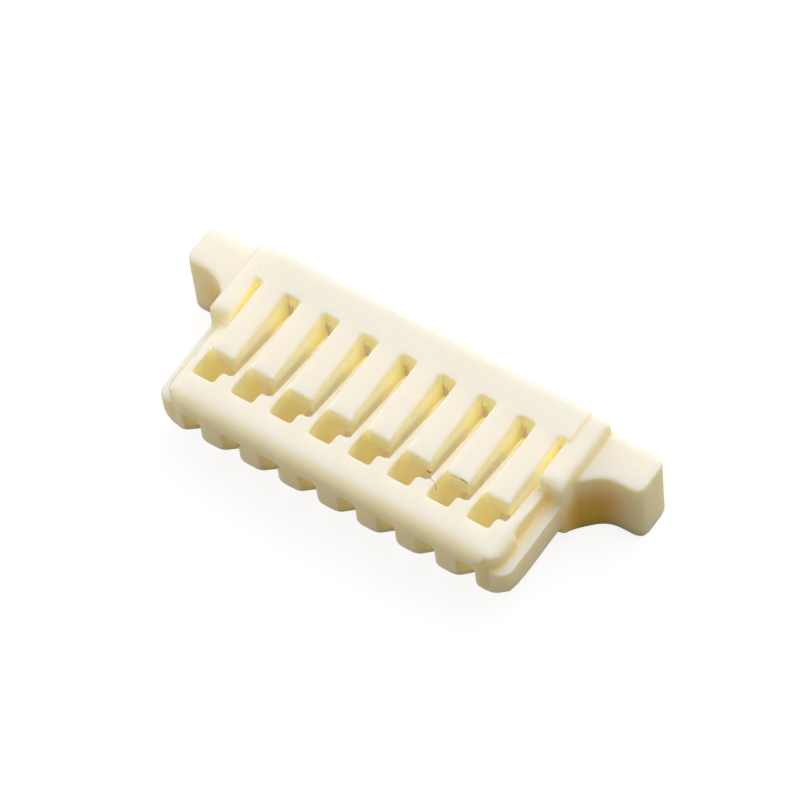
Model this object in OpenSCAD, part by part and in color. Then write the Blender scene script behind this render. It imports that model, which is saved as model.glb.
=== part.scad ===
// Receptacle housing for a row of crimped wire terminals, moulded in one piece.
// A rounded nose plugs into a header on a board. Behind it stands a taller block that takes the
// wires and carries two ears to pull on. A springy lance over each channel reaches forward from
// the back bar and drops behind the shoulder of the terminal that is pushed in under it.
// The row runs along X, the nose points to -Y and the housing lies on its flat underside.

/* [Row] */
// Number of terminal channels
positions = 8; // [2:1:16]
// Distance from one channel to the next
pitch = 1; // [0.9:0.05:1.4]
// Wall that stands between two channels
divider_t = 0.2; // [0.14:0.02:0.3]

/* [Nose] */
// Height of the nose above the underside
nose_h = 2.08; // [1.9:0.02:2.3]
// Length of the nose in front of the shoulders
nose_l = 2.24; // [2:0.02:3]
// Thickness of each end wall
end_wall = 0.35; // [0.35:0.01:0.6]
// Thickness of the front wall that the mating pins pass
front_wall = 0.78; // [0.7:0.02:1]
// Radius of the upper edges
nose_r = 0.33; // [0.1:0.01:0.34]
// Radius of the lower side edges
sole_r = 0.4; // [0.1:0.01:0.45]
// Radius of the upright front corners
corner_r = 0.6; // [0.3:0.01:0.7]
// Width of the crease down each front corner
crease_w = 0.1; // [0.04:0.01:0.2]
// Depth of the crease
crease_t = 0.08; // [0.02:0.01:0.12]
// Height of the lead-in slope under the nose
lead_h = 0.95; // [0.5:0.01:1.1]
// Length of the lead-in slope under the nose
lead_l = 0.8; // [0.5:0.02:1.1]

/* [Wire-side block] */
// Height over the lance roots
block_h = 2.31; // [2.2:0.01:2.8]
// Length behind the shoulders
block_l = 1.98; // [1.9:0.02:3]
// How far each side stands out past the nose
shoulder_w = 0.27; // [0.15:0.01:0.6]
// Radius of the upper edges of the shoulders
shoulder_r = 0.2; // [0.05:0.01:0.25]
// Step from the shoulder strips up to the middle of the top
panel_rise = 0.06; // [0.01:0.01:0.1]
// How far the raised middle reaches past the outer lances' slots
panel_over = 0.08; // [0.02:0.01:0.2]
// Length of the back bar that carries the lances
bar_l = 0.86; // [0.5:0.02:1.2]
// Thickness of the back bar above the channels
roof_t = 0.36; // [0.25:0.01:0.6]
// Thickness of the floor below the channels
floor_t = 0.42; // [0.36:0.01:0.6]
// Height of the slope under each shoulder
foot_h = 0.46; // [0.1:0.02:0.8]
// Length of the slope under each shoulder
foot_l = 0.5; // [0.1:0.02:0.8]
// Chamfer round the mouth of each channel
mouth = 0.06; // [0.02:0.01:0.1]

/* [Ears] */
// How far each ear stands out from the block
ear_w = 1.33; // [0.7:0.01:2]
// Thickness from front to back
ear_t = 1; // [0.6:0.02:1.4]
// Height above the underside
ear_h = 1.87; // [1.2:0.01:2.1]
// Size of the slanted web in front of each ear
web = 0.46; // [0.1:0.02:0.6]
// Radius of the bend between web and ear
web_r = 0.8; // [0.2:0.05:0.9]
// Radius of the outer corners
ear_r = 0.2; // [0.05:0.01:0.28]

/* [Lances] */
// Width of a lance
lance_w = 0.6; // [0.4:0.02:0.66]
// Free length from the back bar to the tip
lance_l = 1.96; // [1.5:0.02:2.1]
// Thickness at the root
lance_t = 0.3; // [0.2:0.01:0.36]
// Fall of the upper face from root to tip
lance_dip = 0.04; // [0.01:0.01:0.15]
// Height of the catching face at the tip
tip_h = 0.52; // [0.35:0.01:0.7]
// Length of the flat under the tip
tip_l = 0.3; // [0.1:0.02:0.6]
// Gap between an outer lance and its shoulder
side_gap = 0.15; // [0.1:0.01:0.25]
// How far the dividers fall toward the back bar
ramp_drop = 0.38; // [0.1:0.02:0.6]
// Gap between the end of a divider and the back bar
root_gap = 0.14; // [0.06:0.02:0.3]
// Depth of that gap below the end of the divider
root_drop = 0.5; // [0.2:0.05:0.8]

/* [Keys] */
// Width of the key in the corner of each window
key_w = 0.23; // [0.1:0.01:0.3]
// Length of the key
key_l = 0.32; // [0.15:0.01:0.4]
// Height of the key
key_h = 0.5; // [0.2:0.02:0.8]
// Radius of the key's free corner
key_r = 0.1; // [0.02:0.01:0.1]

/* [Pin entries] */
// Width of the slot that a mating pin enters
entry_w = 0.42; // [0.25:0.01:0.5]
// Shift of the slots from the middle of their channels
entry_shift = 0.05; // [0:0.01:0.1]
// Top of the slot above the underside
entry_h = 1.56; // [1.2:0.02:1.7]
// Chamfer beside the slot at the front face
funnel = 0.03; // [0.02:0.01:0.06]
// Radius of the teeth between the slots
tooth_r = 0.14; // [0.05:0.01:0.24]

/* [Side rails] */
// How far a rail stands out from its end wall
rail_out = 0.22; // [0.05:0.01:0.26]
// Height of a rail
rail_h = 0.78; // [0.3:0.02:0.9]
// Drop from the top of the nose to a rail
rail_drop = 0.52; // [0.36:0.01:0.7]
// Distance from the front face to the end of a rail
rail_start = 0.14; // [0.05:0.01:0.6]
// Radius of the front end of a rail
rail_r = 0.3; // [0.1:0.01:0.4]
// Depth of the recess that an end wall has above its rail
recess_t = 0.1; // [0.02:0.01:0.2]
// Distance from the front face to the recess
recess_start = 0.98; // [0.8:0.02:1.4]
// Radius of the outer lower edges beside the lead-in slope
lead_r = 0.5; // [0.3:0.01:0.55]

/* [Hidden] */
$fn = 48;
ivory = [0.95, 0.92, 0.84];
// Overshoot of every cut past the face that it opens
over = 0.3;
channel_w = pitch - divider_t;
half_row = (positions - 1) * pitch / 2;
half_nose = half_row + channel_w / 2 + end_wall;
half_block = half_nose + shoulder_w;
half_ear = half_block + ear_w;
half_rail = half_nose + rail_out;
rail_root = half_nose - 3 / 4 * end_wall;
rail_z = nose_h - rail_drop - rail_h;
crease_x = half_nose - 2 / 3 * end_wall;
half_room = half_row + lance_w / 2 + side_gap;
half_panel = half_room + panel_over;
strip_z = block_h - panel_rise;
depth = nose_l + block_l;
bar_y = depth - bar_l;
ramp_y = front_wall + key_l;
ramp_z = nose_h - ramp_drop;
tip_y = bar_y - lance_l;
tip_z = block_h - lance_dip;
ear_y = depth - ear_t;
centres = [for (i = [0 : positions - 1]) i * pitch - half_row];

// What is taken off to round a corner at the origin, with material toward -x and -y
module corner_off(r) {
    translate([-r, -r]) difference() {
        square(r + over);
        circle(r);
    }
}

// Outline in Y and Z, drawn out along X and centred on the row
module along_x(length) {
    rotate([90, 0, 90]) linear_extrude(length, center = true) children();
}

// Outline in X and Z, drawn out along Y from the front face
module along_y(length) {
    translate([0, length, 0]) rotate([90, 0, 0]) linear_extrude(length) children();
}

// Outline square to a slope between two points in Y and Z, drawn out along the slope
module along_slope(from, to) {
    run = norm(to - from) + 2 * over;
    angle = atan2(to[1] - from[1], to[0] - from[0]);
    start = to + over * [cos(angle), sin(angle)];
    translate([0, start[0], start[1]]) rotate([90 + angle, 0, 0]) linear_extrude(run) children();
}

// Children at one end of the row and mirrored at the other
module both_ends() {
    for (side = [0, 1]) mirror([side, 0, 0]) children();
}

// Side view of the nose: rounded over the front, lead-in below, falling toward the block
module nose_profile() {
    difference() {
        polygon([
            [0, lead_h], [lead_l, 0], [bar_y, 0],
            [bar_y, ramp_z], [ramp_y, nose_h], [0, nose_h]
        ]);
        translate([0, nose_h]) mirror([1, 0]) corner_off(nose_r);
    }
}

// Plan of the nose with its two upright corners rounded
module nose_plan() {
    difference() {
        translate([-half_nose, 0]) square([2 * half_nose, bar_y]);
        both_ends() translate([half_nose, 0]) mirror([0, 1]) corner_off(corner_r);
    }
}

// Nose before the channels are opened
module nose() {
    difference() {
        intersection() {
            along_x(2 * half_nose) nose_profile();
            linear_extrude(nose_h) nose_plan();
        }
        both_ends() {
            along_y(bar_y) {
                translate([half_nose, nose_h]) corner_off(nose_r);
                translate([half_nose, 0]) mirror([0, 1]) corner_off(sole_r);
            }
            translate([half_nose - recess_t, recess_start, rail_z + rail_h / 2])
                cube([recess_t + over, nose_l + shoulder_w / 2 - recess_start, nose_h]);
        }
    }
}

// Rail on the outside of one end wall, rounded at its front end
module rail() {
    back = nose_l + shoulder_w;
    translate([0, 0, rail_z]) linear_extrude(rail_h) difference() {
        polygon([
            [rail_root, rail_start], [half_rail, rail_start], [half_rail, back], [rail_root, back]
        ]);
        translate([half_rail, rail_start]) mirror([0, 1]) corner_off(rail_r);
    }
}

// Crease down one front corner of the nose, measured in from the corner's arc
module crease() {
    in = max(0, crease_x - half_nose + corner_r);
    arc_y = corner_r - sqrt(corner_r * corner_r - in * in);
    spread = crease_w / 2 * (crease_t + over) / crease_t;
    translate([crease_x, arc_y]) linear_extrude(nose_h)
        polygon([[0, crease_t], [-spread, -over], [spread, -over]]);
}

// Side view of the block: sloped under its front, with a rounded upper front edge
module block_profile() {
    difference() {
        polygon([
            [nose_l, foot_h], [nose_l + foot_l, 0], [depth, 0],
            [depth, strip_z], [nose_l, strip_z]
        ]);
        translate([nose_l, strip_z]) mirror([1, 0]) corner_off(shoulder_r);
    }
}

// Block that the wires enter, with its top raised between the shoulder strips
module block() {
    difference() {
        along_x(2 * half_block) block_profile();
        both_ends() along_y(depth + over) translate([half_block, strip_z]) corner_off(shoulder_r);
    }
    translate([-half_panel, bar_y, block_h / 2]) cube([2 * half_panel, bar_l, block_h / 2]);
}

// Ear at one end of the block with its slanted web
module ear() {
    root = half_block - shoulder_w;
    bend_r = min(web_r, 2 * web);
    bend_l = bend_r * tan(45 / 2);
    linear_extrude(ear_h) difference() {
        polygon([
            [root, depth], [half_ear, depth], [half_ear, ear_y],
            [half_block + web + bend_l, ear_y],
            [half_block + web - bend_l * cos(45), ear_y - bend_l * sin(45)],
            [half_block, ear_y - web], [root, ear_y - web]
        ]);
        translate([half_block + web + bend_l, ear_y - bend_r]) circle(bend_r);
        translate([half_ear, depth]) corner_off(ear_r);
        translate([half_ear, ear_y]) mirror([0, 1]) corner_off(ear_r);
    }
}

// Channel for one terminal: open above as far as the back bar, and out through the back
module channel() {
    reach = depth + over;
    translate([-channel_w / 2, front_wall, floor_t])
        cube([channel_w, bar_y - front_wall, block_h]);
    translate([-channel_w / 2, front_wall, floor_t])
        cube([channel_w, reach - front_wall, block_h - roof_t - floor_t]);
    translate([0, 0, floor_t]) linear_extrude(block_h - roof_t - floor_t)
        polygon([
            [-channel_w / 2, depth - mouth], [channel_w / 2, depth - mouth],
            [channel_w / 2 + mouth, depth], [channel_w / 2 + mouth, reach],
            [-channel_w / 2 - mouth, reach], [-channel_w / 2 - mouth, depth]
        ]);
}

// Room round the lances: above the falling dividers, and behind their ends
module lance_room() {
    along_x(2 * half_room)
        polygon([
            [ramp_y, nose_h], [bar_y, ramp_z],
            [bar_y, block_h + over], [ramp_y, block_h + over]
        ]);
    for (i = [0 : positions - 2])
        translate([centres[i], bar_y - root_gap, ramp_z - root_drop])
            cube([pitch, root_gap, root_drop + ramp_drop]);
}

// Slot for one mating pin, open below, with a chamfer at the front face
module entry() {
    half = entry_w / 2;
    translate([0, 0, -over]) linear_extrude(entry_h + over)
        polygon([
            [-half - funnel, -over], [half + funnel, -over], [half + funnel, 0],
            [half, funnel], [half, front_wall + over], [-half, front_wall + over],
            [-half, funnel], [-half - funnel, 0]
        ]);
}

// Rounding of a lower edge along the lead-in slope, with material on the inner side of x
module slope_edge(x, r) {
    along_slope([0, lead_h], [lead_l, 0])
        translate([x, 0]) mirror([0, 1]) corner_off(r);
}

// Lance with its catching face at the front end
module lance() {
    along_x(lance_w)
        polygon([
            [bar_y + bar_l / 2, block_h], [bar_y, block_h], [tip_y, tip_z],
            [tip_y, tip_z - tip_h], [tip_y + tip_l, tip_z - tip_h],
            [bar_y, block_h - lance_t], [bar_y + bar_l / 2, block_h - lance_t]
        ]);
}

// Key in the front corner of a window
module key() {
    translate([channel_w / 2 - key_w, front_wall, nose_h - key_h]) linear_extrude(key_h)
        difference() {
            translate([0, -over]) square([key_w + divider_t / 2, key_l + over]);
            translate([0, key_l]) mirror([1, 0]) corner_off(key_r);
        }
}

// Whole housing
module housing() {
    color(ivory) translate([0, -depth / 2, 0]) {
        difference() {
            union() {
                nose();
                block();
                both_ends() {
                    rail();
                    ear();
                }
            }
            lance_room();
            both_ends() {
                slope_edge(half_rail, lead_r);
                crease();
            }
            for (x = centres) translate([x, 0, 0]) {
                channel();
                translate([entry_shift, 0, 0]) {
                    entry();
                    both_ends() slope_edge(-entry_w / 2, tooth_r);
                }
            }
        }
        for (x = centres) translate([x, 0, 0]) {
            lance();
            key();
        }
    }
}

housing();
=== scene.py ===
"""Dresses an eight-way receptacle housing moulded in natural ivory nylon."""

import logging
import math
from dataclasses import dataclass, field
from enum import Enum
from typing import Any, Union

import bpy
from mathutils import Matrix, Vector
from mathutils.bvhtree import BVHTree


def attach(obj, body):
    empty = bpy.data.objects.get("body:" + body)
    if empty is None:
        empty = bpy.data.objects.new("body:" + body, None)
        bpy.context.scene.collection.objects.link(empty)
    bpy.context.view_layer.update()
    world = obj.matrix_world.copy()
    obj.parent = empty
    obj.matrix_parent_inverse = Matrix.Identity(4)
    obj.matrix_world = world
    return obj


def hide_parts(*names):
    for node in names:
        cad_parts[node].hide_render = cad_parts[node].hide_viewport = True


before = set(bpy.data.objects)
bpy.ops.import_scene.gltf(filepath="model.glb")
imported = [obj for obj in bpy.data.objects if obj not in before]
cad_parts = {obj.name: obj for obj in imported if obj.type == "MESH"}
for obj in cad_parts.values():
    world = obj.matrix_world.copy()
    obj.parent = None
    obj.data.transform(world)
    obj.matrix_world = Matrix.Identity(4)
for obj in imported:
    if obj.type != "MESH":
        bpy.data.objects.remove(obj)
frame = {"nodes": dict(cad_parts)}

LOG = logging.getLogger("housing")
MM = 0.001
IMAGE_SIDE_PX = 800
SENSOR_MM = 36.0
WAYS = 8
PITCH_MM = 1.0
NOISE_MIDDLE = 0.5
LIGHT_BOUNCES = 16

Colour = tuple[float, float, float]
Point = tuple[float, float, float]
Span = tuple[float, float]


def ramp(value: float, start: float, end: float) -> float:
    """A smooth step from 0 at the start to 1 at the end.

    Args:
        value: The value to test.
        start: Where the step gives 0.
        end: Where the step gives 1.

    Returns:
        A value from 0 to 1.
    """
    share = min(max((value - start) / (end - start), 0.0), 1.0)
    return share * share * (3.0 - 2.0 * share)


class MathOp(Enum):
    """The Math node operations that shader expressions use."""

    ADD = "ADD"
    SUBTRACT = "SUBTRACT"
    MULTIPLY = "MULTIPLY"
    DIVIDE = "DIVIDE"
    POWER = "POWER"
    MINIMUM = "MINIMUM"
    MAXIMUM = "MAXIMUM"
    ABSOLUTE = "ABSOLUTE"
    MODULO = "MODULO"


class Signal:
    """A shader socket that takes part in Python arithmetic."""

    def __init__(self, board: "NodeBoard", socket: bpy.types.NodeSocket) -> None:
        """Wraps one output socket.

        Args:
            board: The board whose tree holds the socket.
            socket: The output socket.
        """
        self.board = board
        self.socket = socket

    def _math(self, op: MathOp, first: "Value", second: "Value" = 0.0) -> "Signal":
        """Adds one Math node.

        Args:
            op: The operation.
            first: The first operand.
            second: The second operand.

        Returns:
            The node's result.
        """
        return self.board.node("ShaderNodeMath", {"operation": op.value}, {0: first, 1: second})

    def __add__(self, other: "Value") -> "Signal":
        """The sum of the two."""
        return self._math(MathOp.ADD, self, other)

    __radd__ = __add__

    def __sub__(self, other: "Value") -> "Signal":
        """This less the other."""
        return self._math(MathOp.SUBTRACT, self, other)

    def __rsub__(self, other: "Value") -> "Signal":
        """The other less this."""
        return self._math(MathOp.SUBTRACT, other, self)

    def __mul__(self, other: "Value") -> "Signal":
        """The product of the two."""
        return self._math(MathOp.MULTIPLY, self, other)

    __rmul__ = __mul__

    def __truediv__(self, other: "Value") -> "Signal":
        """This over the other."""
        return self._math(MathOp.DIVIDE, self, other)

    def __rtruediv__(self, other: "Value") -> "Signal":
        """The other over this."""
        return self._math(MathOp.DIVIDE, other, self)

    def __pow__(self, other: "Value") -> "Signal":
        """This to a power."""
        return self._math(MathOp.POWER, self, other)

    def __mod__(self, other: "Value") -> "Signal":
        """What is left of this after whole steps of the other."""
        return self._math(MathOp.MODULO, self, other)

    def __abs__(self) -> "Signal":
        """The size of this, without its sign."""
        return self._math(MathOp.ABSOLUTE, self)

    def least(self, other: "Value") -> "Signal":
        """The smaller of the two."""
        return self._math(MathOp.MINIMUM, self, other)

    def most(self, other: "Value") -> "Signal":
        """The larger of the two."""
        return self._math(MathOp.MAXIMUM, self, other)


Value = Union[Signal, float]


class NodeBoard:
    """The node tree of one material or of the world."""

    def __init__(self, tree: bpy.types.NodeTree) -> None:
        """Empties a tree.

        Args:
            tree: The tree to write into.
        """
        tree.nodes.clear()
        self.tree = tree

    def node(
        self,
        kind: str,
        settings: dict[str, Any] | None = None,
        inputs: dict[Any, Any] | None = None,
        output: int | str = 0,
    ) -> Signal:
        """Adds any node.

        Args:
            kind: The node's type.
            settings: Properties of the node, which are set first.
            inputs: Values or signals, by the socket's name or number.
            output: The output that is handed on.

        Returns:
            The chosen output of the node.
        """
        made = self.tree.nodes.new(kind)
        for name, value in (settings or {}).items():
            setattr(made, name, value)
        for name, value in (inputs or {}).items():
            if isinstance(value, Signal):
                self.tree.links.new(value.socket, made.inputs[name])
            else:
                made.inputs[name].default_value = value
        return Signal(self, made.outputs[output]) if made.outputs else Signal(self, None)

    def object_point(self) -> Signal:
        """The point on the piece, in metres of the piece's own frame."""
        return self.node("ShaderNodeTexCoord", output="Object")

    def along(self, axis: str) -> Signal:
        """The place of the point along one axis of the piece.

        Args:
            axis: X, Y or Z.

        Returns:
            The place in millimetres.
        """
        return self.node("ShaderNodeSeparateXYZ", None, {0: self.object_point()}, axis) / MM

    def noise(self, size_mm: float, detail: float = 2.0, roughness: float = 0.5) -> Signal:
        """Soft noise over the piece.

        Args:
            size_mm: The size of a patch.
            detail: The number of finer layers.
            roughness: How strong the finer layers are.

        Returns:
            A value around one half.
        """
        return self.node(
            "ShaderNodeTexNoise",
            {"noise_dimensions": "3D"},
            {
                "Vector": self.object_point(),
                "Scale": 1.0 / (size_mm * MM),
                "Detail": detail,
                "Roughness": roughness,
            },
        )

    def layer(self, name: str) -> Signal:
        """A value that the piece carries at its points.

        Args:
            name: The name of the attribute.

        Returns:
            The value.
        """
        return self.node("ShaderNodeAttribute", {"attribute_name": name}, output="Fac")

    def vector(self, operation: str, first: Any, second: Any, output: int | str = 0) -> Signal:
        """Adds one Vector Math node.

        Args:
            operation: The operation.
            first: The first vector.
            second: The second vector.
            output: The output that is handed on.

        Returns:
            The node's result.
        """
        sockets = {0: first, 1: second}
        return self.node("ShaderNodeVectorMath", {"operation": operation}, sockets, output)

    def gap_mm(self, start: Point, end: Point) -> Signal:
        """The distance from a straight line between two points.

        Args:
            start: One end, in millimetres.
            end: The other end, in millimetres.

        Returns:
            The distance in millimetres.
        """
        run = (Vector(end) - Vector(start)) * MM
        offset = self.vector("SUBTRACT", self.object_point(), Vector(start) * MM)
        along = self.vector("DOT_PRODUCT", offset, run / run.length_squared, "Value")
        share = along.most(0.0).least(1.0)
        foot = self.node("ShaderNodeVectorMath", {"operation": "SCALE"}, {0: run, "Scale": share})
        return self.vector("DISTANCE", offset, foot, "Value") / MM

    def band(self, value: Signal, start: float, end: float) -> Signal:
        """A smooth step.

        Args:
            value: The value to test.
            start: Where the step gives 0.
            end: Where the step gives 1.

        Returns:
            A value from 0 to 1.
        """
        return self.node(
            "ShaderNodeMapRange",
            {"interpolation_type": "SMOOTHSTEP"},
            {"Value": value, "From Min": start, "From Max": end},
        )

    def tint(self, share: Value, under: Any, over: Any) -> Signal:
        """Lays one colour over another.

        Args:
            share: How much of the upper colour shows.
            under: The lower colour.
            over: The upper colour.

        Returns:
            The mixed colour.
        """
        return self.node(
            "ShaderNodeMix",
            {"data_type": "RGBA"},
            {
                "Factor": share,
                6: under if isinstance(under, Signal) else (*under, 1.0),
                7: over if isinstance(over, Signal) else (*over, 1.0),
            },
            output=2,
        )


# Dark tint for real hairs and specks, and for the painted shade dots in the notches
DIRT_AND_SHADE: Colour = (0.12, 0.09, 0.05)


@dataclass(frozen=True)
class Mark:
    """A tinted run of points on the moulding: a real hair or speck, a plain dark dot or line, or a
    line or patch of painted shade.
    """

    path_mm: tuple[Point, ...]
    width_mm: float
    strength: float
    colour: Colour = DIRT_AND_SHADE
    core_share: float = 0.2

    def shade(self, board: NodeBoard) -> Signal:
        """Where the mark lies.

        Args:
            board: The board to add to.

        Returns:
            A value from 0 off the mark to its strength on it.
        """
        gaps = [board.gap_mm(a, b) for a, b in zip(self.path_mm, self.path_mm[1:])]
        nearest = gaps[0]
        for gap in gaps[1:]:
            nearest = nearest.least(gap)
        return board.band(nearest, self.width_mm, self.core_share * self.width_mm) * self.strength


# A small dark dot beside a lance tip
LANCE_DARK_DOT = Mark(((1.74, -0.7, 1.85), (1.77, -0.7, 1.83)), 0.075, 0.9)
WINDOW_HAIR = Mark(
    ((1.91, -0.91, 2.07), (2.06, -0.968, 2.07), (2.1, -0.975, 2.02), (2.1, -0.965, 1.77)), 0.03, 0.5
)
# Dark lines along the front top edge of a lance tip
LANCE_TIP_LINE = Mark(((2.36, -0.71, 2.21), (2.57, -0.71, 2.24), (2.65, -0.71, 2.23)), 0.035, 0.4)
LANCE_TIP_LINE_END = Mark(((2.6, -0.71, 2.24), (2.68, -0.71, 2.23), (2.73, -0.71, 2.19)), 0.035, 0.75)
FAINT_SPECKS = (
    Mark(((1.48, -0.71, 2.24), (1.53, -0.71, 2.22)), 0.03, 0.3),
    Mark(((-1.45, -0.71, 2.24), (-1.42, -0.71, 2.24)), 0.03, 0.3),
)
# Painted golden shade in the step at the right panel's edge and in the concave join of the right
# shoulder and ear
PANEL_STEP_SHADE = Mark(((4.04, 1.25, 2.27), (4.04, 2.08, 2.27)), 0.06, 0.5, (0.95, 0.7, 0.3))
EAR_JOIN_SHADE = Mark(((4.54, 0.75, 1.89), (4.54, 2.05, 1.89)), 0.05, 0.55, (0.94, 0.8, 0.42))
# Painted golden shade down the first slot, beside the left shoulder strip
FIRST_SLOT_SHADE = Mark(((-3.95, 1.25, 2.22), (-3.95, 0.3, 1.95)), 0.14, 0.6, (0.94, 0.76, 0.34))
# Painted golden shade in the groove above the right rail
RAIL_GROOVE_SHADE = Mark(((4.12, -1.75, 1.64), (4.14, 0.15, 1.7)), 0.3, 0.55, (0.9, 0.7, 0.22))
# Painted shade: dark dots at the tips of two notches in the nose's front, where the slots behind
# lie in shade
NOTCH_SHADE_DOTS = (
    Mark(((-2.22, -2.1, 1.57), (-2.19, -2.1, 1.56)), 0.07, 0.8),
    Mark(((-1.22, -2.1, 1.56), (-1.19, -2.1, 1.55)), 0.07, 0.8),
)
MARKS = (
    LANCE_DARK_DOT,
    WINDOW_HAIR,
    LANCE_TIP_LINE,
    LANCE_TIP_LINE_END,
    *FAINT_SPECKS,
    PANEL_STEP_SHADE,
    EAR_JOIN_SHADE,
    FIRST_SLOT_SHADE,
    RAIL_GROOVE_SHADE,
    *NOTCH_SHADE_DOTS,
)


@dataclass(frozen=True)
class IvoryNylon:
    """Natural nylon, satin from the mould, with painted golden shade and a painted glow in its
    hollows.

    A pair of lengths or shares says where a tint starts to show and where it shows in full.
    """

    hollow_layer: str
    side_shade_layer: str
    name: str = "ivory_nylon"
    body: Colour = (0.888, 0.835, 0.722)
    warm: Colour = (0.888, 0.825, 0.688)
    # Painted warm shade on faces that turn from up or face the front
    side: Colour = (0.94, 0.83, 0.56)
    # Painted brown shade in the recessed corners before the ears
    recess_shade: Colour = (0.84, 0.6, 0.1)
    corner_x_mm: float = 4.72
    corner_y_mm: float = 0.7
    corner_reach_mm: Span = (0.95, 0.25)
    corner_top_mm: Span = (1.75, 0.85)
    # Painted dark shade along the narrow gap beside each divider
    brink: Colour = (0.42, 0.31, 0.12)
    gap_shade_share: float = 0.9
    brink_shift_mm: float = 13.078
    brink_half_mm: Span = (0.04, 0.018)
    brink_row_mm: Span = (3.5, 3.4)
    brink_front_mm: Span = (-1.0, -0.95)
    brink_back_mm: Span = (0.9, 0.3)
    brink_low_mm: Span = (1.55, 1.65)
    # Painted brown shade in the channels under the block
    channel_shade: Colour = (0.6, 0.46, 0.15)
    tunnel_mm: Span = (1.25, 1.3)
    tunnel_end_mm: Span = (2.08, 2.0)
    tunnel_top_mm: Span = (2.0, 1.95)
    tunnel_floor_mm: Span = (0.34, 0.39)
    tunnel_half_mm: Span = (3.98, 3.93)
    # Painted golden shade in the hollows, by how far each point lies in a hollow
    hollow_shade: Colour = (0.96, 0.9, 0.66)
    hollow_shade_span: Span = (0.18, 0.6)
    # A stronger painted golden shade in the most enclosed hollows
    enclosed_shade: Colour = (0.88, 0.74, 0.33)
    enclosed_shade_span: Span = (0.8, 1.0)
    # Painted glow colours in the hollows, as light that comes through the walls: the middle, the
    # back ends and the windows at the front
    slot_painted_glow: Colour = (0.064, 0.067, 0.066)
    end_painted_glow: Colour = (0.118, 0.1, 0.034)
    end_mm: Span = (0.3, 1.1)
    window_painted_glow: Colour = (0.09, 0.085, 0.035)
    window_mm: Span = (-0.2, -0.7)
    marks: tuple[Mark, ...] = MARKS
    refraction: float = 1.53
    satin: float = 0.42
    satin_spread: float = 0.12
    mottle_mm: float = 1.6
    mottle_detail: float = 3.0
    mottle_noise: Span = (0.35, 0.7)
    mottle_share: float = 0.5
    grain_mm: float = 0.035
    grain_height_mm: float = 0.0012
    ripple_mm: float = 0.45
    ripple_height_mm: float = 0.004
    glow_mm: float = 0.6
    glow_reach: Colour = (1.0, 0.8, 0.5)

    def _colour(self, board: NodeBoard, hollow: Signal) -> Signal:
        """The colour: a faint mottle, painted warm shade where the surface turns from up or faces
        the front, painted golden shade in the hollows, painted brown shade in the recessed corners
        before the ears, in the channels under the block and in the gaps beside the dividers, and
        the marks.

        Args:
            board: The board to add to.
            hollow: How far each point lies in a hollow.

        Returns:
            The colour.
        """
        mottle = board.band(board.noise(self.mottle_mm, self.mottle_detail), *self.mottle_noise)
        colour = board.tint(mottle * self.mottle_share, self.body, self.warm)
        colour = board.tint(board.layer(self.side_shade_layer), colour, self.side)
        colour = board.tint(self._recess_shade_mask(board), colour, self.recess_shade)
        colour = board.tint(hollow, colour, self.hollow_shade)
        enclosed_shade_mask = board.band(board.layer(self.hollow_layer), *self.enclosed_shade_span)
        colour = board.tint(enclosed_shade_mask, colour, self.enclosed_shade)
        colour = board.tint(self._channel_shade_mask(board), colour, self.channel_shade)
        colour = board.tint(self._gap_shade_mask(board) * self.gap_shade_share, colour, self.brink)
        for mark in self.marks:
            colour = board.tint(mark.shade(board), colour, mark.colour)
        return colour

    def _recess_shade_mask(self, board: NodeBoard) -> Signal:
        """Where the painted brown shade lies, in the recessed corners before the ears.

        Args:
            board: The board to add to.

        Returns:
            A value from 0 to 1.
        """
        out = abs(board.along("X")) - self.corner_x_mm
        back = board.along("Y") - self.corner_y_mm
        gap = (out * out + back * back) ** 0.5
        low = board.band(board.along("Z"), *self.corner_top_mm)
        return board.band(gap, *self.corner_reach_mm) * low

    def _gap_shade_mask(self, board: NodeBoard) -> Signal:
        """Where the painted shade lines lie, one in the narrow gap along the left edge of each
        divider.

        Args:
            board: The board to add to.

        Returns:
            A value from 0 to 1.
        """
        across, run = board.along("X"), board.along("Y")
        step = (across + self.brink_shift_mm) % PITCH_MM
        line = board.band(step.least(PITCH_MM - step), *self.brink_half_mm)
        line = line * board.band(abs(across), *self.brink_row_mm)
        line = line * board.band(run, *self.brink_front_mm) * board.band(run, *self.brink_back_mm)
        return line * board.band(board.along("Z"), *self.brink_low_mm)

    def _channel_shade_mask(self, board: NodeBoard) -> Signal:
        """Where the channels run on under the block, where shade is painted and the glow is left
        out.

        Args:
            board: The board to add to.

        Returns:
            A value from 0 to 1.
        """
        run, rise = board.along("Y"), board.along("Z")
        inside = board.band(abs(board.along("X")), *self.tunnel_half_mm)
        inside = inside * board.band(run, *self.tunnel_mm) * board.band(run, *self.tunnel_end_mm)
        inside = inside * board.band(rise, *self.tunnel_top_mm)
        return inside * board.band(rise, *self.tunnel_floor_mm)

    def make(self) -> bpy.types.Material:
        """Makes the material.

        Returns:
            The finished material.
        """
        material = bpy.data.materials.new(self.name)
        material.use_nodes = True
        board = NodeBoard(material.node_tree)
        grain = board.noise(self.grain_mm)
        ripple = board.noise(self.ripple_mm)
        relief = grain * (self.grain_height_mm * MM) + ripple * (self.ripple_height_mm * MM)
        bump = {"Strength": 1.0, "Distance": 1.0, "Height": relief}
        normal = board.node("ShaderNodeBump", None, bump)
        roughness = self.satin + (ripple - NOISE_MIDDLE) * self.satin_spread
        hollow = board.band(board.layer(self.hollow_layer), *self.hollow_shade_span)
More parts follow.
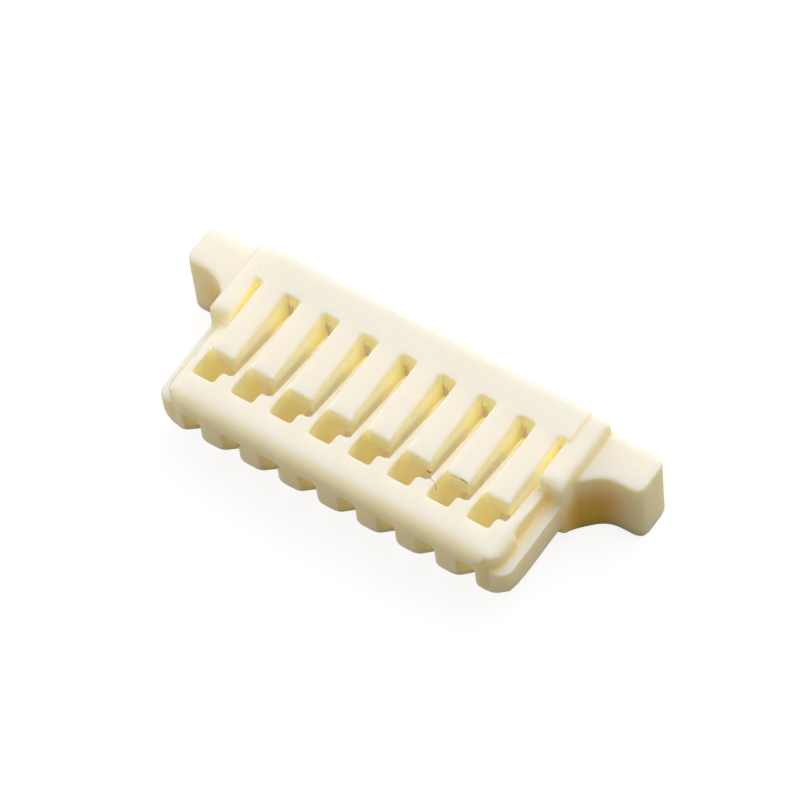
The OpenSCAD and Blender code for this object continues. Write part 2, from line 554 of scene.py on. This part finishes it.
        # The emission is a painted glow in the hollows, left out of the channels under the block
        rear = board.band(board.along("Y"), *self.end_mm)
        glow = board.tint(rear, self.slot_painted_glow, self.end_painted_glow)
        glow = board.tint(board.band(board.along("Y"), *self.window_mm), glow, self.window_painted_glow)
        lit = hollow * (1.0 - self._channel_shade_mask(board))
        skin = board.node(
            "ShaderNodeBsdfPrincipled",
            {"subsurface_method": "RANDOM_WALK"},
            {
                "Base Color": self._colour(board, hollow),
                "Roughness": roughness,
                "Normal": normal,
                "IOR": self.refraction,
                "Subsurface Weight": 1.0,
                "Subsurface Radius": self.glow_reach,
                "Subsurface Scale": self.glow_mm * MM,
                "Emission Color": board.tint(lit, (0.0, 0.0, 0.0), glow),
                "Emission Strength": 1.0,
            },
        )
        board.node("ShaderNodeOutputMaterial", None, {"Surface": skin})
        return material


@dataclass(frozen=True)
class HollowMap:
    """Writes down how far each point of a piece lies in a hollow and how far it turns from up or
    faces the front; the material paints shade from both.
    """

    layer: str = "hollow"
    side_shade_layer: str = "side"
    side_lift: Span = (0.96, 0.55)
    front_lift: Span = (0.08, 0.6)
    reach_mm: float = 1.2
    rays: int = 24
    lift_mm: float = 0.02
    blur_passes: int = 3

    def _fan(self) -> list[Vector]:
        """Directions over a half sphere, closer together toward its pole.

        Returns:
            The directions, with the pole along +Z.
        """
        turn = math.pi * (3.0 - math.sqrt(5.0))
        fan = []
        for k in range(self.rays):
            spread = math.sqrt((k + 0.5) / self.rays)
            fan.append(
                Vector(
                    (
                        spread * math.cos(turn * k),
                        spread * math.sin(turn * k),
                        math.sqrt(1.0 - spread * spread),
                    )
                )
            )
        return fan

    def paint(self, piece: bpy.types.Object) -> None:
        """Measures every point and stores the values on the piece.

        Args:
            piece: The piece to measure.
        """
        mesh = piece.data
        walls = BVHTree.FromPolygons(
            [v.co for v in mesh.vertices], [tuple(p.vertices) for p in mesh.polygons]
        )
        fan = self._fan()
        reach = self.reach_mm * MM
        values = []
        for vertex in mesh.vertices:
            stand = vertex.normal.to_track_quat("Z", "Y").to_matrix()
            start = vertex.co + vertex.normal * (self.lift_mm * MM)
            blocked = 0.0
            for direction in fan:
                distance = walls.ray_cast(start, stand @ direction, reach)[3]
                if distance is not None:
                    blocked += 1.0 - distance / reach
            values.append(blocked / self.rays)
        for _ in range(self.blur_passes):
            values = self._blur(mesh, values)
        # How far each point turns from up or faces the front, for painted shade
        sides = [
            max(ramp(v.normal.z, *self.side_lift), ramp(-v.normal.y, *self.front_lift))
            for v in mesh.vertices
        ]
        for layer, painted in ((self.layer, values), (self.side_shade_layer, sides)):
            mesh.attributes.new(layer, "FLOAT", "POINT").data.foreach_set("value", painted)

    @staticmethod
    def _blur(mesh: bpy.types.Mesh, values: list[float]) -> list[float]:
        """Takes the mean of each point and its neighbours.

        Args:
            mesh: The mesh.
            values: One value a point.

        Returns:
            The blurred values.
        """
        sums, counts = list(values), [1] * len(values)
        for edge in mesh.edges:
            a, b = edge.vertices
            sums[a] += values[b]
            sums[b] += values[a]
            counts[a] += 1
            counts[b] += 1
        return [total / count for total, count in zip(sums, counts)]


@dataclass
class Housing:
    """The moulding, with the soft edges that it has from the mould.

    A pair of lengths says where a region starts, or where its softening starts and is full.
    """

    node: str = "housing"
    piece_name: str = "housing_moulding"
    weld_mm: float = 0.0005
    lance_centres_mm: tuple[float, ...] = tuple(-3.5 + k * PITCH_MM for k in range(WAYS))
    keel_width_mm: float = 0.596
    keel_run_mm: Span = (-0.38, 1.3)
    keel_z_mm: Span = (1.42, 2.15)
    voxel_mm: float = 0.03
    smooth_factor: float = 0.5
    rounding_passes: int = 10
    crisp_share: float = 0.1
    trench_half_mm: float = 3.93
    trench_mm: Span = (-1.05, 1.24)
    trench_top_mm: float = 2.17
    left_edges_mm: tuple[float, ...] = tuple(-3.8 + k * PITCH_MM for k in range(WAYS))
    brink_mm: float = 0.1
    soft_passes: int = 120
    soft_share: float = 0.5
    firm_share: float = 0.15
    firm_mm: Span = (0.6, 1.6)
    strip_mm: Span = (4.03, 4.2)
    shoulder_front_mm: Span = (-0.05, 0.1)
    back_share: float = 0.22
    back_edge_mm: Span = (1.85, 2.0)
    top_edge_mm: Span = (1.98, 2.1)
    lance_edges_mm: tuple[float, ...] = (-3.95, *(-3.2 + k * PITCH_MM for k in range(WAYS)))
    lance_edge_mm: Span = (-0.2, 0.04)
    lance_top_mm: Span = (2.0, 2.12)
    lance_run_mm: Span = (-0.66, 1.2)
    lance_share: float = 0.6
    teeth_top_mm: Span = (0.95, 0.75)
    teeth_share: float = 0.7
    lobe_swell_mm: float = 0.05
    nose_front_mm: Span = (-1.38, -1.55)
    nose_top_mm: Span = (1.5, 1.66)
    nose_half_mm: Span = (3.95, 3.6)
    triangle_share: float = 0.29
    hollows: HollowMap = field(default_factory=HollowMap)

    def build(self, nodes: dict[str, bpy.types.Object]) -> bpy.types.Object:
        """Copies the solid and softens its edges.

        Args:
            nodes: The solids of the frame, by name.

        Returns:
            The softened piece.
        """
        piece = bpy.data.objects.new(self.piece_name, nodes[self.node].data.copy())
        bpy.context.scene.collection.objects.link(piece)
        self._deepen(piece)
        bpy.ops.object.mode_set(mode="EDIT")
        bpy.ops.mesh.select_all(action="SELECT")
        bpy.ops.mesh.remove_doubles(threshold=self.weld_mm * MM)
        bpy.ops.object.mode_set(mode="OBJECT")
        self._apply(piece, "skin", "REMESH", mode="VOXEL", voxel_size=self.voxel_mm * MM)
        for passes, group in (
            (self.rounding_passes, self._mark_edges(piece)),
            (self.soft_passes, self._mark_soft(piece)),
        ):
            settings = {"factor": self.smooth_factor, "iterations": passes, "vertex_group": group}
            self._apply(piece, group, "SMOOTH", **settings)
        lobes = self._mark_lobes(piece)
        swell = self.lobe_swell_mm * MM
        self._apply(piece, lobes, "DISPLACE", strength=swell, mid_level=0.0, vertex_group=lobes)
        self._apply(piece, "thin_out", "DECIMATE", ratio=self.triangle_share)
        bpy.ops.object.shade_smooth()
        self.hollows.paint(piece)
        return piece

    def _deepen(self, piece: bpy.types.Object) -> None:
        """Adds the lower part of each lance, which can be seen down the slots.

        Args:
            piece: The piece, which is left as the active object.
        """
        (start, end), (low, high) = self.keel_run_mm, self.keel_z_mm
        size = Vector((self.keel_width_mm, end - start, high - low)) * MM
        keels = []
        for centre in self.lance_centres_mm:
            place = Vector((centre, (start + end) / 2, (low + high) / 2)) * MM
            bpy.ops.mesh.primitive_cube_add(size=1.0, location=place, scale=size)
            keels.append(bpy.context.object)
        bpy.ops.object.select_all(action="DESELECT")
        for part in (piece, *keels):
            part.select_set(True)
        bpy.context.view_layer.objects.active = piece
        bpy.ops.object.join()

    def _mark_edges(self, piece: bpy.types.Object) -> str:
        """Marks every edge, but less between the lances, where the dividers are crisp.

        Args:
            piece: The piece.

        Returns:
            The name of the vertex group.
        """
        group = piece.vertex_groups.new(name="edges")
        start, end = self.trench_mm
        for vertex in piece.data.vertices:
            x, y, z = vertex.co / MM
            brink = any(abs(x - edge) < self.brink_mm for edge in self.left_edges_mm)
            between = abs(x) < self.trench_half_mm and start < y < end
            crisp = between and (brink or z < self.trench_top_mm)
            group.add([vertex.index], self.crisp_share if crisp else 1.0, "REPLACE")
        return group.name

    def _mark_soft(self, piece: bpy.types.Object) -> str:
        """Marks the edges that are softer than the rest, such as those of the shoulders and ears.

        Args:
            piece: The piece.

        Returns:
            The name of the vertex group.
        """
        group = piece.vertex_groups.new(name="softer")
        low, high = self.lance_edge_mm
        start, end = self.lance_run_mm
        for vertex in piece.data.vertices:
            x, y, z = vertex.co / MM
            side = ramp(abs(x), *self.strip_mm) * ramp(y, *self.shoulder_front_mm)
            firm = ramp(z, *self.firm_mm) if x > 0.0 else 0.0
            side *= self.soft_share + (self.firm_share - self.soft_share) * firm
            back = self.back_share * ramp(y, *self.back_edge_mm) * ramp(z, *self.top_edge_mm)
            nose = ramp(y, *self.nose_front_mm)
            front = nose * ramp(z, *self.nose_top_mm) * ramp(abs(x), *self.nose_half_mm)
            teeth = self.teeth_share * nose * ramp(z, *self.teeth_top_mm)
            share = max(side, back, front, teeth)
            if start < y < end and any(low < x - edge < high for edge in self.lance_edges_mm):
                share = max(share, self.lance_share * ramp(z, *self.lance_top_mm))
            if share > 0.0:
                group.add([vertex.index], share, "REPLACE")
        return group.name

    def _mark_lobes(self, piece: bpy.types.Object) -> str:
        """Marks the teeth under the nose, which swell into lobes.

        Args:
            piece: The piece.

        Returns:
            The name of the vertex group.
        """
        group = piece.vertex_groups.new(name="lobes")
        for vertex in piece.data.vertices:
            _, y, z = vertex.co / MM
            share = ramp(y, *self.nose_front_mm) * ramp(z, *self.teeth_top_mm)
            group.add([vertex.index], share, "REPLACE")
        return group.name

    @staticmethod
    def _apply(piece: bpy.types.Object, name: str, kind: str, **settings: Any) -> None:
        """Adds a modifier and applies it.

        Args:
            piece: The active object.
            name: The modifier's name.
            kind: The modifier's type.
            settings: Its settings.
        """
        modifier = piece.modifiers.new(name, kind)
        for key, value in settings.items():
            setattr(modifier, key, value)
        bpy.ops.object.modifier_apply(modifier=name)

    def dress(self, piece: bpy.types.Object) -> None:
        """Gives the piece its finish and its place in the frame.

        Args:
            piece: The softened piece.
        """
        piece.data.materials.clear()
        nylon = IvoryNylon(self.hollows.layer, self.hollows.side_shade_layer)
        piece.data.materials.append(nylon.make())
        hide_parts(self.node)
        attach(piece, "root")


@dataclass(frozen=True)
class Panel:
    """A round lamp panel that faces the housing."""

    name: str
    azimuth_deg: float
    elevation_deg: float
    level: float
    width_mm: float = 220.0
    distance_mm: float = 250.0

    def hang(self) -> None:
        """Adds the lamp, at the power that gives a white surface facing it the panel's level."""
        a, e = math.radians(self.azimuth_deg), math.radians(self.elevation_deg)
        place = Vector((math.sin(a) * math.cos(e), -math.cos(a) * math.cos(e), math.sin(e)))
        lamp = bpy.data.lights.new(self.name, "AREA")
        lamp.shape = "DISK"
        lamp.size = self.width_mm * MM
        lamp.energy = self.level * (math.pi * self.distance_mm * MM) ** 2
        holder = bpy.data.objects.new(self.name, lamp)
        bpy.context.scene.collection.objects.link(holder)
        holder.location = place * (self.distance_mm * MM)
        holder.rotation_euler = place.to_track_quat("Z", "Y").to_euler()


PANELS = (
    Panel("overhead_panel", 0.0, 90.0, 0.15),
    Panel("upper_right_panel", 120.0, 50.0, 0.29),
    Panel("upper_back_panel", 180.0, 50.0, 0.3),
    Panel("upper_left_panel", 240.0, 50.0, 0.16),
    Panel("front_panel", 0.0, 18.0, 0.13),
    Panel("right_panel", 120.0, 18.0, 0.18),
    Panel("back_panel", 180.0, 18.0, 0.36),
    Panel("left_back_panel", 240.0, 18.0, 0.17),
    Panel("left_front_panel", 300.0, 18.0, 0.41),
)


@dataclass
class Studio:
    """A pale floor with soft light that comes mostly from behind and from the left."""

    floor_side_mm: float = 1500.0
    floor_glow: float = 0.86
    floor_camera: Colour = (0.22, 0.22, 0.22)
    floor_bounce: Colour = (0.47, 0.425, 0.34)
    sky: float = 0.0
    panels: tuple[Panel, ...] = PANELS

    def build_floor(self) -> bpy.types.Object:
        """Adds the floor.

        Returns:
            The floor.
        """
        bpy.ops.object.select_all(action="DESELECT")
        bpy.ops.mesh.primitive_plane_add(size=self.floor_side_mm * MM)
        floor = bpy.context.object
        floor.name = "studio_floor"
        material = bpy.data.materials.new("pale_floor")
        material.use_nodes = True
        board = NodeBoard(material.node_tree)
        seen = board.node("ShaderNodeLightPath", output="Is Camera Ray")
        glow = board.node(
            "ShaderNodeEmission", None, {"Color": (1.0, 1.0, 1.0, 1.0), "Strength": self.floor_glow}
        )
        pale = board.node("ShaderNodeBsdfDiffuse", None, {"Color": (*self.floor_camera, 1.0)})
        bounce = board.node("ShaderNodeBsdfDiffuse", None, {"Color": (*self.floor_bounce, 1.0)})
        lit = board.node("ShaderNodeAddShader", None, {0: glow, 1: pale})
        surface = board.node("ShaderNodeMixShader", None, {0: seen, 1: bounce, 2: lit})
        board.node("ShaderNodeOutputMaterial", None, {"Surface": surface})
        floor.data.materials.append(material)
        return floor

    @staticmethod
    def _seen(board: NodeBoard) -> Signal:
        """One for the rays that show the background, directly or in gloss.

        Args:
            board: The board to add to.

        Returns:
            A value of 0 or 1.
        """
        camera = board.node("ShaderNodeLightPath", output="Is Camera Ray")
        glossy = board.node("ShaderNodeLightPath", output="Is Glossy Ray")
        through = board.node("ShaderNodeLightPath", output="Is Transmission Ray")
        return camera.most(glossy).most(through)

    def light(self) -> None:
        """Sets the world and hangs the panels."""
        world = bpy.data.worlds.new("studio_world")
        bpy.context.scene.world = world
        world.use_nodes = True
        board = NodeBoard(world.node_tree)
        sky = board.node(
            "ShaderNodeBackground", None, {"Color": (1.0, 1.0, 1.0, 1.0), "Strength": self.sky}
        )
        white = board.node("ShaderNodeBackground", None, {"Color": (1.0, 1.0, 1.0, 1.0)})
        surface = board.node("ShaderNodeMixShader", None, {0: self._seen(board), 1: sky, 2: white})
        board.node("ShaderNodeOutputWorld", None, {"Surface": surface})
        for panel in self.panels:
            panel.hang()


@dataclass
class PhotoCamera:
    """The viewpoint of the photograph."""

    azimuth_deg: float = 40.42857
    elevation_deg: float = 56.40046
    roll_deg: float = -7.77856
    aim_mm: Point = (0.60929, 0.02018, 2.74308)
    distance_mm: float = 107.6274
    focal_px: float = 5138.81

    def place(self) -> bpy.types.Object:
        """Adds the camera and makes it the scene's.

        Returns:
            The camera.
        """
        a, e, r = (math.radians(d) for d in (self.azimuth_deg, self.elevation_deg, self.roll_deg))
        back = Vector((math.sin(a) * math.cos(e), -math.cos(a) * math.cos(e), math.sin(e)))
        level = Vector((math.cos(a), math.sin(a), 0.0))
        rise = back.cross(level)
        right = math.cos(r) * level + math.sin(r) * rise
        up = math.cos(r) * rise - math.sin(r) * level
        lens = bpy.data.cameras.new("photo_camera")
        lens.sensor_width = SENSOR_MM
        lens.lens = self.focal_px * SENSOR_MM / IMAGE_SIDE_PX
        lens.clip_start = MM
        camera = bpy.data.objects.new("photo_camera", lens)
        bpy.context.scene.collection.objects.link(camera)
        spot = (Vector(self.aim_mm) + back * self.distance_mm) * MM
        turn = Matrix((right, up, back)).transposed().to_4x4()
        camera.matrix_world = Matrix.Translation(spot) @ turn
        bpy.context.scene.camera = camera
        return camera


def main() -> None:
    """Builds the housing and its studio."""
    logging.basicConfig(level=logging.INFO, format="%(name)s: %(message)s")
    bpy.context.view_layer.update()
    bpy.context.scene.view_settings.view_transform = "Standard"
    bpy.context.scene.cycles.max_bounces = LIGHT_BOUNCES
    bpy.context.scene.cycles.diffuse_bounces = LIGHT_BOUNCES
    camera = PhotoCamera().place()
    LOG.info("camera %s", camera.name)
    studio = Studio()
    floor = studio.build_floor()
    studio.light()
    LOG.info("stage %s", floor.name)
    housing = Housing()
    piece = housing.build(frame["nodes"])
    housing.dress(piece)
    LOG.info("piece %s: %d faces", piece.name, len(piece.data.polygons))


if __name__ == "__main__":
    main()
